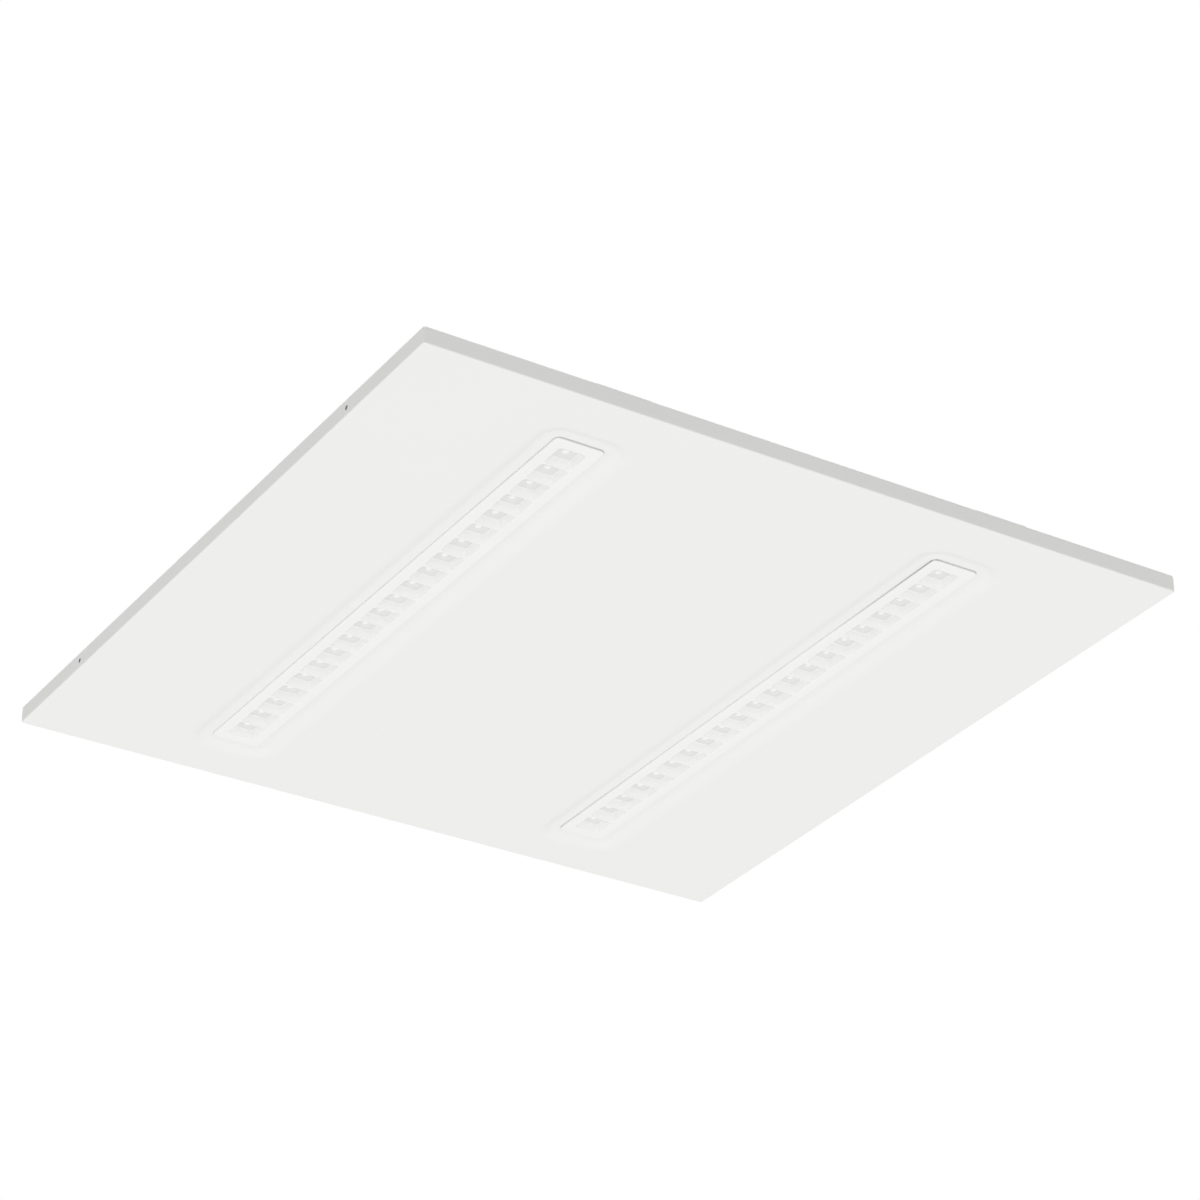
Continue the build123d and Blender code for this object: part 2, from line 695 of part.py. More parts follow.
# Cable grommets in the end wall
cable_grommets = {"cable_grommet_in": -cable_spacing / 2, "cable_grommet_out": cable_spacing / 2}
for name, dy in cable_grommets.items():
    outer_x = cable_end_x - grommet_flange_thickness
    grommet_length = gear_sheet + 2 * grommet_flange_thickness
    with BuildPart() as grommet:
        with BuildSketch(facing_x(outer_x, device_y + dy, cable_z)):
            Circle(grommet_neck)
        extrude(amount=grommet_length)
        for flange_x in (outer_x, cable_end_x + gear_sheet):
            with BuildSketch(facing_x(flange_x, device_y + dy, cable_z)):
                Circle(grommet_flange)
            extrude(amount=grommet_flange_thickness)
        with BuildSketch(facing_x(outer_x, device_y + dy, cable_z)):
            Circle(cable_radius)
        extrude(amount=grommet_length, mode=Mode.SUBTRACT)
    save(grommet, name)

# Earth ring with a barrel for its wire, and the screw that holds it
with BuildPart() as earth_ring:
    with BuildSketch(Plane((earth_x, earth_y, floor_top))):
        Circle(earth_ring_radius)
        with Locations((-earth_ring_radius, 0)):
            Rectangle(earth_barrel, earth_barrel)
        RegularPolygon(screw_hole, screw_sides, mode=Mode.SUBTRACT)
    extrude(amount=earth_ring_thickness)
    with BuildSketch(Plane((earth_x - earth_ring_radius - earth_barrel / 2, earth_y, floor_top))):
        Rectangle(earth_barrel, earth_barrel)
    extrude(amount=wire_level + 2 * wire_radius)
save(earth_ring, "earth_ring")

save(hex_screws([(earth_x, earth_y)], floor_top + earth_ring_thickness, rail_top), "earth_screw")

# Wires between the terminals, each in one level plane
supply_routes = []
for pole in range(pole_count - 1):
    pole_y = device_y + (pole - (pole_count - 1) / 2) * pole_pitch
    entry_y = device_y + (pole - (pole_count - 2) / 2) * driver_entry_pitch
    supply_routes.append([
        (terminal_back, pole_y), (terminal_back + wire_run / 4, pole_y),
        (driver_left - wire_run / 4, entry_y), (driver_left, entry_y),
    ])
save(wires(supply_routes), "supply_wires")

barrel_front = earth_x - earth_ring_radius - earth_barrel
with BuildPart() as earth_wire:
    with BuildSketch(facing_x(terminal_back, earth_y, wire_z)):
        RegularPolygon(wire_radius, wire_sides)
    extrude(amount=barrel_front - terminal_back)
save(earth_wire, "earth_wire")


def led_route(riser, lane, end_x):
    start_y = device_y + (2.5 - riser) * driver_entry_pitch
    riser_x = driver_right + driver_ear_length + riser * riser_pitch
    return [
        (driver_right, start_y), (riser_x, start_y), (riser_x, lane),
        (end_x, lane), (end_x, connector_front),
    ]


half_pair = connector_wire_spacing / 2
to_left = [led_route(1, lane_near, -row_x - half_pair), led_route(2, lane_far, -row_x + half_pair)]
to_right = [led_route(3, lane_far, row_x - half_pair), led_route(4, lane_near, row_x + half_pair)]
save(wires(to_left), "led_wires_left")
save(wires(to_right), "led_wires_right")

# Clips that hold the left row's wires to the floor
with BuildPart() as wire_clips:
    for x in clip_x:
        with BuildSketch(facing_x(x - clip_length / 2, clip_y, wire_z)):
            with Locations((0, (2 * wire_radius - wire_level) / 2)):
                Rectangle(lane_pitch + 2 * (wire_radius + clip_edge), wire_level + 2 * wire_radius)
            with GridLocations(lane_pitch, 0, 2, 1):
                RegularPolygon(wire_radius + clip_clearance, wire_sides, mode=Mode.SUBTRACT)
                with Locations((0, wire_radius)):
                    Rectangle(2 * wire_radius, 4 * wire_radius, mode=Mode.SUBTRACT)
        extrude(amount=clip_length)
save(wire_clips, "wire_clips")
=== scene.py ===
import bmesh
import bpy
import json
from math import cos, pi, radians, sin, sqrt, tan
from mathutils import Matrix, Vector


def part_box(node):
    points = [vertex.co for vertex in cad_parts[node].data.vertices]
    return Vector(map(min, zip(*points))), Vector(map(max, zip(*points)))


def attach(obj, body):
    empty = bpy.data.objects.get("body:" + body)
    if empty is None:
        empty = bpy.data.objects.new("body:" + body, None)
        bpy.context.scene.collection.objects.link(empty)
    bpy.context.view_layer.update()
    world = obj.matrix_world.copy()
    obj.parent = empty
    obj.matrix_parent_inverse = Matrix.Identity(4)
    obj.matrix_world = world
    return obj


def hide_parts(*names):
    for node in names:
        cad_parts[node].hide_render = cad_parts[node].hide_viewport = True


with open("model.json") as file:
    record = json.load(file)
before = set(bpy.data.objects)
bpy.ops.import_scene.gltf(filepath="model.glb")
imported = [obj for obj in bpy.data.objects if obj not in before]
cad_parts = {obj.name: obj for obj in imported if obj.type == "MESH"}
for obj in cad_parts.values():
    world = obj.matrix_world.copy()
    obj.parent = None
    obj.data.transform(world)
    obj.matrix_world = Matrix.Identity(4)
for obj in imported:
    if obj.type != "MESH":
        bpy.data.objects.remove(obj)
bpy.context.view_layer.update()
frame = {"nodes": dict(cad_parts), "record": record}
mm = 0.001


def middleOf(node, axis):
    low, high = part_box(node)
    return (low[axis] + high[axis]) / 2


rowReach = middleOf("louvre_right", 0)


# shader sums written as plain expressions

class Signal:
    def __init__(self, finish, socket):
        self.finish = finish
        self.socket = socket

    def maths(self, operation, first, second):
        return self.finish.node("ShaderNodeMath", {"operation": operation}, {0: first, 1: second})

    def __add__(self, other):
        return self.maths("ADD", self, other)

    def __radd__(self, other):
        return self.maths("ADD", other, self)

    def __sub__(self, other):
        return self.maths("SUBTRACT", self, other)

    def __rsub__(self, other):
        return self.maths("SUBTRACT", other, self)

    def __mul__(self, other):
        return self.maths("MULTIPLY", self, other)

    def __rmul__(self, other):
        return self.maths("MULTIPLY", other, self)

    def __truediv__(self, other):
        return self.maths("DIVIDE", self, other)

    def __rtruediv__(self, other):
        return self.maths("DIVIDE", other, self)

    def __pow__(self, other):
        return self.maths("POWER", self, other)

    def __mod__(self, other):
        return self.maths("FLOORED_MODULO", self, other)

    def __lt__(self, other):
        return self.maths("LESS_THAN", self, other)

    def __gt__(self, other):
        return self.maths("GREATER_THAN", self, other)


class Finish:
    def __init__(self, owner):
        owner.use_nodes = True
        self.owner = owner
        self.tree = owner.node_tree
        self.tree.nodes.clear()

    def node(self, kind, settings=None, sockets=None, out=0):
        made = self.tree.nodes.new(kind)
        for name, value in (settings or {}).items():
            setattr(made, name, value)
        for name, value in (sockets or {}).items():
            if isinstance(value, Signal):
                self.tree.links.new(value.socket, made.inputs[name])
            else:
                made.inputs[name].default_value = value
        return Signal(self, made.outputs[out]) if len(made.outputs) else None

    def split(self, vector):
        parts = self.node("ShaderNodeSeparateXYZ", None, {0: vector}).socket.node
        return [Signal(self, parts.outputs[axis]) for axis in range(3)]

    def place(self):  # object coordinates in millimetres, as three signals
        spot = self.node("ShaderNodeTexCoord", out="Object")
        return [part * (1 / mm) for part in self.split(spot)]

    def noise(self, grain, detail=2.0, rough=0.5):  # grain is the size of a lump in mm
        spot = self.node("ShaderNodeTexCoord", out="Object")
        return self.node("ShaderNodeTexNoise", None, {
            "Vector": spot, "Scale": 1 / mm / grain, "Detail": detail, "Roughness": rough})

    def ramp(self, value, start, end, curve="LINEAR"):  # 0 at the start, 1 at the end
        return self.node("ShaderNodeMapRange", {"interpolation_type": curve}, {
            "Value": value, "From Min": start, "From Max": end})

    def tint(self, mask, *colours):  # from one colour or tint to another
        first, second = (colour if isinstance(colour, Signal) else (*colour, 1) for colour in colours)
        return self.node("ShaderNodeMix", {"data_type": "RGBA", "clamp_factor": True}, {
            "Factor": mask, 6: first, 7: second}, out=2)

    def clouded(self, cloud, colour, tones):  # one colour in two close tones
        return self.tint(cloud, *(shade(colour, tone) for tone in tones))

    def bump(self, height, depth, normal=None):  # depth in mm
        sockets = {"Height": height, "Distance": depth * mm, "Strength": 1.0}
        if normal:
            sockets["Normal"] = normal
        return self.node("ShaderNodeBump", None, sockets)

    def softEdges(self, radius):
        return self.node("ShaderNodeBevel", {"samples": 6}, {"Radius": radius * mm})

    def seenRays(self):  # what the camera sees, also in metal and through lenses
        path = self.node("ShaderNodeLightPath").socket.node
        rays = ("Is Camera Ray", "Is Glossy Ray", "Is Transmission Ray")
        return sum(Signal(self, path.outputs[ray]) for ray in rays)

    def surface(self, **sockets):
        named = {name.replace("_", " "): value for name, value in sockets.items()}
        shader = self.node("ShaderNodeBsdfPrincipled", None, named)
        self.node("ShaderNodeOutputMaterial", None, {"Surface": shader})
        return self.owner


def newFinish(name):
    return Finish(bpy.data.materials.new(name))


def shade(colour, amount):
    return tuple(min(1.0, part * amount) for part in colour)


def unsigned(signal):
    return (signal * signal) ** 0.5


def around(middle, noise, spread):
    return middle + (noise - 0.5) * spread


def acrossRow(x):  # mm from the middle of the nearer row
    return unsigned(x) - rowReach / mm


# finishes of the sheet metal, mouldings and wires, with lengths in mm

paint = {
    "white": (0.858, 0.858, 0.842), "clouds": (0.994, 1.006), "cloudGrain": 90,
    "rough": 0.46, "roughSpread": 0.12, "peelGrain": 1.3, "peelDepth": 0.012,
    # lip and lipZ: painted light, the recess lips a touch lighter than the face
    "lip": (0.866, 0.866, 0.850), "lipZ": (1.4, 2.4), "lipTop": 3.4, "faceHalf": 290,
    "cutEdge": (0.15, 0.15, 0.15), "holeX": 296, "holeY": 198, "holeZ": 6, "holeReach": 1.65,
}


def powderCoat():
    f = newFinish("powder coat white")
    peel = f.noise(paint["peelGrain"], detail=3, rough=0.55)
    x, y, z = f.place()
    paintedLipLight = f.ramp(z, *paint["lipZ"]) * (z < paint["lipTop"])
    onFace = (x * x < paint["faceHalf"] ** 2) * (y * y < paint["faceHalf"] ** 2)
    fromHole = unsigned(y) - paint["holeY"], z - paint["holeZ"]
    atHole = sum(step * step for step in fromHole) < paint["holeReach"] ** 2
    punched = atHole * (x * x > paint["holeX"] ** 2)  # bare edges of the wall holes
    sheet = f.clouded(f.noise(paint["cloudGrain"]), paint["white"], paint["clouds"])
    # painted light: the lips of the recesses are made lighter than the rest of the face
    coat = f.tint(paintedLipLight * onFace, sheet, paint["lip"])
    return f.surface(
        Base_Color=f.tint(punched, coat, paint["cutEdge"]),
        Roughness=around(paint["rough"], peel, paint["roughSpread"]),
        Normal=f.bump(peel, paint["peelDepth"]))


moulding = {
    "white": (0.890, 0.890, 0.874), "clouds": (0.992, 1.006), "cloudGrain": 40,
    "rough": 0.52, "roughSpread": 0.1, "grain": 0.35, "grainDepth": 0.004,
    # cup: painted light, the cell walls lighter than the face
    "cup": (0.93, 0.93, 0.915), "cupX": 12, "cupY": 236, "cupZ": (1.4, 2.7),
    # slot: painted shade in the gap between the nose and the lip at the row ends
    "slot": (0.71, 0.71, 0.70), "slotY": 243.2, "slotZ": (2.2, 3.4),
    # seam: painted shade along the -X sides of the nose
    "seamShade": (0.43, 0.43, 0.42), "seamX": 18.1, "seamZ": 1.55,
    "seamFar": (-120, -250), "seamNear": (110, 260),
    "leftShare": 0.25, "nearShare": 0.4, "turnShare": 0.3,
    "noseHalf": (18.63, 243.8), "noseCorner": 4.2, "noseEdge": 0.6,
}


def mouldedWhite():
    f = newFinish("moulded white")
    grain = f.noise(moulding["grain"])
    x, y, z = f.place()
    across = acrossRow(x)
    inCells = (across * across < moulding["cupX"] ** 2) * (y * y < moulding["cupY"] ** 2)
    face = f.clouded(f.noise(moulding["cloudGrain"], detail=1), moulding["white"], moulding["clouds"])
    # painted light: the cells are made lighter deeper in
    cup = f.tint(f.ramp(z, *moulding["cupZ"]) * inCells, face, moulding["cup"])
    # painted shade along the seams on the -X sides, darker towards the ends, most in the right row
    far, near = f.ramp(y, *moulding["seamFar"]), f.ramp(y, *moulding["seamNear"])
    rightRow, reach, leftShare = x > 0, rowReach / mm, moulding["leftShare"]
    seamShadeFade = far * (leftShare + rightRow * (1 - leftShare)) + near * rightRow * moulding["nearShare"]
    outerSide = rightRow * (x < reach) + (x < -reach)
    # the painted shade follows the rounded corners of the nose
    corner = moulding["noseCorner"]
    turnX, turnY = (unsigned(step) - half + corner
                    for step, half in zip((across, y), moulding["noseHalf"]))
    atTurn = (turnX > 0) * (turnY > 0) * outerSide
    atTurn *= turnX * turnX + turnY * turnY > (corner - moulding["noseEdge"]) ** 2
    slotStart, slotEnd = moulding["slotZ"]
    # painted shade: the nose walls in the slot at the row ends and round the corners are made darker
    slotShadeMask = ((y * y > moulding["slotY"] ** 2) + atTurn) * (z > slotStart) * (z < slotEnd)
    onSide = (across * across > moulding["seamX"] ** 2) + atTurn * moulding["turnShare"]
    seamShadeMask = onSide * (z > moulding["seamZ"]) * (z < slotEnd)
    slot = f.tint(slotShadeMask, cup, moulding["slot"])
    return f.surface(
        Base_Color=f.tint(seamShadeMask * seamShadeFade * outerSide, slot, moulding["seamShade"]),
        Roughness=around(moulding["rough"], grain, moulding["roughSpread"]),
        Normal=f.bump(grain, moulding["grainDepth"]))


lens = {
    "pitch": 22.4, "domeRadius": 3.0, "domeFade": (0.4, -1.2),
    "plate": (0.885, 0.888, 0.885), "dome": (0.95, 0.95, 0.94),
    "plateAlpha": 0.9, "domeAlpha": 0.08, "rough": 0.12, "cloudRough": 0.1, "cloudGrain": 6, "ior": 1.49,
}


def fromCell(f):  # mm from the middle of the nearest cell
    x, y = f.place()[:2]
    across = acrossRow(x)
    along = (y + lens["pitch"] / 2) % lens["pitch"] - lens["pitch"] / 2
    return (along * along + across * across) ** 0.5


def clearLens():
    f = newFinish("clear lens")
    fade = (lens["domeRadius"] + step for step in lens["domeFade"])
    dome = f.ramp(fromCell(f), *fade, curve="SMOOTHSTEP")
    return f.surface(
        Base_Color=f.tint(dome, lens["plate"], lens["dome"]),
        Roughness=lens["rough"] + f.noise(lens["cloudGrain"]) * lens["cloudRough"],
        Alpha=lens["plateAlpha"] + dome * lens["domeAlpha"],
        IOR=lens["ior"])


board = {
    "white": (0.86, 0.87, 0.85), "track": (0.79, 0.80, 0.75), "trackX": (5.2, 7.4),
    "trackShare": 0.5, "trackDepth": 0.03, "rough": 0.38, "cloudRough": 0.1, "cloudGrain": 3,
}


def boardWhite():
    f = newFinish("white board")
    side = unsigned(acrossRow(f.place()[0]))
    trackStart, trackEnd = board["trackX"]
    track = (side > trackStart) * (side < trackEnd)
    return f.surface(
        Base_Color=f.tint(track * board["trackShare"], board["white"], board["track"]),
        Roughness=board["rough"] + f.noise(board["cloudGrain"]) * board["cloudRough"],
        Normal=f.bump(track, board["trackDepth"]))


led = {
    "rim": (0.85, 0.85, 0.82), "phosphor": (0.90, 0.72, 0.22), "phosphorRadius": 1.15,
    "rough": 0.25, "grainRough": 0.15, "grain": 0.25,
}


def ledPackage():
    f = newFinish("led package")
    return f.surface(
        Base_Color=f.tint(fromCell(f) < led["phosphorRadius"], led["rim"], led["phosphor"]),
        Roughness=led["rough"] + f.noise(led["grain"]) * led["grainRough"])


zinc = {
    "dark": (0.55, 0.565, 0.58), "light": (0.60, 0.61, 0.62), "metal": 0.9,
    "flakesPerMetre": 190.0, "bendsPerMetre": 160.0, "bend": 6, "flakeShare": 0.7, "hazeShare": 0.3,
    "rough": 0.37, "flakeRough": 0.07, "wearRough": 0.03, "wearGrain": 60,
    "hazeGrain": 0.8, "hazeDepth": 0.006, "edge": 0.35,
}


def zincSheet():
    f = newFinish("galvanised sheet")
    spot = f.node("ShaderNodeTexCoord", out="Object")
    swirl = f.node("ShaderNodeTexNoise", None, {
        "Vector": spot, "Scale": zinc["bendsPerMetre"], "Detail": 3.0}, out="Color")
    bent = f.node("ShaderNodeVectorMath", {"operation": "MULTIPLY_ADD"}, {
        0: swirl, 1: (zinc["bend"] * mm,) * 3, 2: spot})
    flake = f.node("ShaderNodeTexVoronoi", None, {
        "Vector": bent, "Scale": zinc["flakesPerMetre"]}, out="Color")
    tone = f.split(flake)[0]
    haze = f.noise(zinc["hazeGrain"], detail=4, rough=0.6)
    wear = f.noise(zinc["wearGrain"], detail=3)
    mask = tone * zinc["flakeShare"] + haze * zinc["hazeShare"]
    return f.surface(
        Base_Color=f.tint(mask, zinc["dark"], zinc["light"]),
        Metallic=zinc["metal"],
        Roughness=zinc["rough"] + tone * zinc["flakeRough"] + wear * zinc["wearRough"],
        Normal=f.bump(haze, zinc["hazeDepth"], f.softEdges(zinc["edge"])))


screwZinc = {
    "dark": (0.66, 0.67, 0.69), "light": (0.76, 0.76, 0.75), "grain": 0.4,
    "rough": 0.24, "hazeRough": 0.12, "edge": 0.25,
}
earthBrass = {
    "dark": (0.70, 0.53, 0.24), "light": (0.82, 0.66, 0.34), "grain": 1.5,
    "rough": 0.28, "hazeRough": 0.14, "edge": 0.2,
}


def brightMetal(name, metal):
    f = newFinish(name)
    haze = f.noise(metal["grain"], detail=3)
    return f.surface(
        Base_Color=f.tint(haze, metal["dark"], metal["light"]),
        Metallic=1.0,
        Roughness=metal["rough"] + haze * metal["hazeRough"],
        Normal=f.softEdges(metal["edge"]))


plasticSkin = {
    "clouds": (0.95, 1.05), "cloudGrain": 15, "grain": 0.4, "grainDepth": 0.006,
    "roughSpread": 0.12, "edge": 0.3,
}


def plastic(name, colour, rough, grainSize=plasticSkin["grain"]):
    f = newFinish(name)
    grain = f.noise(grainSize)
    return f.surface(
        Base_Color=f.clouded(f.noise(plasticSkin["cloudGrain"]), colour, plasticSkin["clouds"]),
        Roughness=around(rough, grain, plasticSkin["roughSpread"]),
        Normal=f.bump(grain, plasticSkin["grainDepth"], f.softEdges(plasticSkin["edge"])))


sheath = {
    "brown": (0.20, 0.085, 0.04), "blue": (0.05, 0.17, 0.50), "black": (0.03, 0.03, 0.032),
    "grey": (0.32, 0.33, 0.34), "red": (0.55, 0.04, 0.03), "yellow": (0.85, 0.66, 0.05),
    "green": (0.07, 0.33, 0.09), "rough": 0.42, "roughSpread": 0.1, "grain": 0.5,
    "fanX": (-86.5, -69.5), "poleY": -32.5, "polePitch": 8, "entryY": -25.5, "entryPitch": 6,
    "supplyX": -60, "rowX": 150, "laneY": 16.5, "leftStartY": -10.5, "leftRiserX": 97,
    "rightStartY": -22.5, "rightRiserX": 109, "pairX": 103, "pairY": -16.5,
    "stripePitch": 5, "stripeWidth": 2.6, "stripeSlope": 2,
}


def sheathRough(f):
    return around(sheath["rough"], f.noise(sheath["grain"]), sheath["roughSpread"])


def wireSheath():
    f = newFinish("wire sheath")
    x, y = f.place()[:2]
    # the supply wires fan in from the terminal's poles, and each has its colour
    fan = f.ramp(x, *sheath["fanX"])
    firstY = y - sheath["poleY"] - fan * (sheath["entryY"] - sheath["poleY"])
    pole = firstY / (sheath["polePitch"] - fan * (sheath["polePitch"] - sheath["entryPitch"]))
    supply = sheath["brown"]
    for place, colour in enumerate(("blue", "black", "grey")):
        supply = f.tint(pole > place + 0.5, supply, sheath[colour])
    # red and black in each pair of LED wires
    leftRed = (y < sheath["laneY"]) * (y > sheath["leftStartY"]) * (x < sheath["leftRiserX"])
    leftRed += x < -sheath["rowX"]
    rightRed = (y < sheath["rightStartY"]) + (x > sheath["rightRiserX"]) * (y < sheath["laneY"])
    rightRed += x > sheath["rowX"]
    isRight = (x > sheath["pairX"]) + (y < sheath["pairY"]) * (x > 0)
    red = isRight * rightRed + (1 - (isRight > 0)) * leftRed
    pair = f.tint(red > 0.5, sheath["black"], sheath["red"])
    return f.surface(
        Base_Color=f.tint((x < sheath["supplyX"]) * (y < 0), pair, supply),
        Roughness=sheathRough(f))


def earthSheath():
    f = newFinish("earth sheath")
    x, y, z = f.place()
    run = x + y * sheath["stripeSlope"] + z * sheath["stripeSlope"]
    stripe = (run % sheath["stripePitch"]) > sheath["stripeWidth"]
    return f.surface(
        Base_Color=f.tint(stripe, sheath["green"], sheath["yellow"]),
        Roughness=sheathRough(f))


finishes = {
    "panel_white": powderCoat(),
    "louvre_white": mouldedWhite(),
    "lens_clear": clearLens(),
    "board_white": boardWhite(),
    "led_phosphor": ledPackage(),
    "pad_grey": plastic("thermal pad", (0.40, 0.43, 0.48), rough=0.75),
    "zinc_sheet": zincSheet(),
    "zinc_screw": brightMetal("bright zinc", screwZinc),
    "connector_white": plastic("connector white", (0.80, 0.80, 0.77), rough=0.45),
    "driver_white": plastic("driver white", (0.80, 0.81, 0.81), rough=0.5, grainSize=0.7),
    "driver_grey": plastic("driver grey", (0.16, 0.165, 0.18), rough=0.55, grainSize=0.7),
    "terminal_grey": plastic("terminal grey", (0.50, 0.52, 0.53), rough=0.45),
    "button_orange": plastic("button orange", (0.80, 0.22, 0.03), rough=0.4),
    "clamp_black": plastic("clamp black", (0.035, 0.035, 0.038), rough=0.48),
    "grommet_rubber": plastic("grommet rubber", (0.028, 0.028, 0.029), rough=0.7, grainSize=0.3),
    "earth_brass": brightMetal("earth brass", earthBrass),
    "wire_insulation": wireSheath(),
    "earth_insulation": earthSheath(),
    "clip_white": plastic("clip white", (0.78, 0.78, 0.75), rough=0.48),
}
print("finishes made:", len(finishes))

for part in frame["record"]["subparts"]:
    mesh = frame["nodes"][part["node"]].data
    mesh.materials.clear()
    mesh.materials.append(finishes[part["material_slot"]])


# pieces remade with finer curves and edges

meshing = {"merge": 0.002 * mm, "near": 0.01 * mm, "facing": 0.999, "sharpAngle": 35, "flatWeight": 100}


def finishPiece(bm, name, nodes, slot, body):
    bmesh.ops.remove_doubles(bm, verts=bm.verts, dist=meshing["merge"])
    for edge in bm.edges:
        if len(edge.link_faces) == 2 and edge.calc_face_angle(0) > radians(meshing["sharpAngle"]):
            edge.smooth = False
    for face in bm.faces:
        face.smooth = True
    mesh = bpy.data.meshes.new(name)
    bm.to_mesh(mesh)
    bm.free()
    mesh.materials.append(finishes[slot])
    piece = bpy.data.objects.new(name, mesh)
    bpy.context.scene.collection.objects.link(piece)
    flatFirst = piece.modifiers.new("large faces stay flat", "WEIGHTED_NORMAL")
    flatFirst.weight = meshing["flatWeight"]
    flatFirst.keep_sharp = True
    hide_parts(*nodes)
    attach(piece, body)
    print("piece:", name, len(mesh.polygons), "faces")


def pick(geometry, kind):
    return [item for item in geometry if isinstance(item, kind)]


def flatSheet(bm, centre, width, length, corner, steps):  # rectangle with round corners, facing +Z
    known = set(bm.faces)
    size = Matrix.Translation(centre) @ Matrix.Diagonal((width, length, 1, 1))
    made = bmesh.ops.create_grid(bm, x_segments=1, y_segments=1, size=0.5, matrix=size)
    bmesh.ops.bevel(bm, geom=made["verts"], offset=corner, offset_type="OFFSET", affect="VERTICES",
                    segments=steps, profile=0.5, material=-1)
    return next(face for face in bm.faces if face not in known)


def fillBetween(bm, face, rims):  # opens a flat face round other outlines in its plane
    edges = list(face.edges)
    bmesh.ops.delete(bm, geom=[face], context="FACES_ONLY")
    for rim in rims:
        edges += rim
    bmesh.ops.triangle_fill(bm, use_beauty=True, use_dissolve=False, edges=edges)


def roundRim(bm, centre, radius, axis, steps):
    turn = Vector((0, 0, 1)).rotation_difference(Vector(axis)).to_matrix().to_4x4()
    made = bmesh.ops.create_circle(bm, cap_ends=False, segments=steps, radius=radius,
                                   matrix=Matrix.Translation(centre) @ turn)
    return list(dict.fromkeys(edge for vert in made["verts"] for edge in vert.link_edges))


tray = {
    "sheet": 0.8 * mm, "bend": 1.2 * mm, "corner": 1.5 * mm, "bendSteps": 5,
    "returnWidth": 12 * mm, "mitre": 0.4 * mm,
    "aperture": (37.6 * mm, 490 * mm), "apertureCorner": 4.5 * mm, "lip": 5 * mm,
    "bevel": 12 * mm, "recessDepth": 2.5 * mm, "bevelSteps": 20, "roundSteps": 14,
    "sideHole": 1.5 * mm, "sideHoleY": 198 * mm, "sideHoleZ": 6 * mm, "holeSteps": 24,
    "hangerHole": 2.6 * mm, "hangerY": 240 * mm, "railHole": 2.1 * mm, "railHoleStep": 14 * mm,
}


def bevelHeight(run):  # two tangent arcs, hollow then round
    width, depth = tray["bevel"], tray["recessDepth"]
    curve = (width ** 2 + depth ** 2) / (4 * depth)
    if run <= width / 2:
        return curve - sqrt(curve ** 2 - run ** 2)
    return depth - curve + sqrt(curve ** 2 - (width - run) ** 2)


def pressRecess(bm, x):
    border = 2 * (tray["lip"] + tray["bevel"])
    width, length = (side + border for side in tray["aperture"])
    known = set(bm.edges)
    face = flatSheet(bm, (x, 0, 0), width, length,
                     tray["apertureCorner"] + border / 2, tray["roundSteps"])
    step = tray["bevel"] / tray["bevelSteps"]
    for turn in range(tray["bevelSteps"]):
        rise = bevelHeight((turn + 1) * step) - bevelHeight(turn * step)
        bmesh.ops.inset_region(bm, faces=[face], thickness=step, depth=rise,
                               use_even_offset=True, use_boundary=True)
    bmesh.ops.inset_region(bm, faces=[face], thickness=tray["lip"], depth=0,
                           use_even_offset=True, use_boundary=True)
    bmesh.ops.delete(bm, geom=[face], context="FACES_ONLY")
    return [edge for edge in bm.edges if edge not in known and edge.is_boundary
            and max(vert.co.z for vert in edge.verts) < tray["sheet"] / 2]


def openBox(bm, half, wallTop):  # four walls on the face, with rounded edges and no top
    bend, steps = tray["bend"], tray["bendSteps"]
    size = Matrix.Diagonal((2 * half, 2 * half, wallTop, 1))
    bmesh.ops.create_cube(bm, size=1, matrix=Matrix.Translation((0, 0, wallTop / 2)) @ size)
    roof = max(bm.faces, key=lambda face: face.calc_center_median().z)
    bmesh.ops.delete(bm, geom=[roof], context="FACES_ONLY")
    upright = [edge for edge in bm.edges if abs(edge.verts[0].co.z - edge.verts[1].co.z) > bend]
    bmesh.ops.bevel(bm, geom=upright, offset=tray["corner"], offset_type="OFFSET", affect="EDGES",
                    segments=steps, profile=0.5, material=-1)
    fold = [edge for edge in bm.edges if max(vert.co.z for vert in edge.verts) < bend / 2]
    bmesh.ops.bevel(bm, geom=fold, offset=bend, offset_type="OFFSET", affect="EDGES",
                    segments=steps, profile=0.5, material=-1)


def foldReturns(bm, half, top):  # the wall tops fold inwards, mitred at the corners
    bend, inner = tray["bend"], half - tray["returnWidth"]
    wallTops = [edge for edge in bm.edges if edge.calc_length() > half
                and min(vert.co.z for vert in edge.verts) > top - bend - meshing["near"]]
    returns = []
    for edge in wallTops:
        middle = (edge.verts[0].co + edge.verts[1].co) / 2
        outward = Vector((middle.x, middle.y, 0)).normalized()
        along = outward.cross(Vector((0, 0, 1)))
        made = bmesh.ops.spin(bm, geom=[edge], cent=middle - outward * bend, axis=along, dvec=(0, 0, 0),
                              angle=pi / 2, steps=tray["bendSteps"], use_merge=False, use_duplicate=False)
        tip = pick(made["geom_last"], bmesh.types.BMEdge)
        grown = bmesh.ops.extrude_edge_only(bm, edges=tip)["geom"]
        for vert in pick(grown, bmesh.types.BMVert):
            side = 1 if vert.co.dot(along) > 0 else -1
            vert.co = outward * inner + along * side * (inner - tray["mitre"]) + Vector((0, 0, top))
        returns += pick(grown, bmesh.types.BMFace)
    return returns


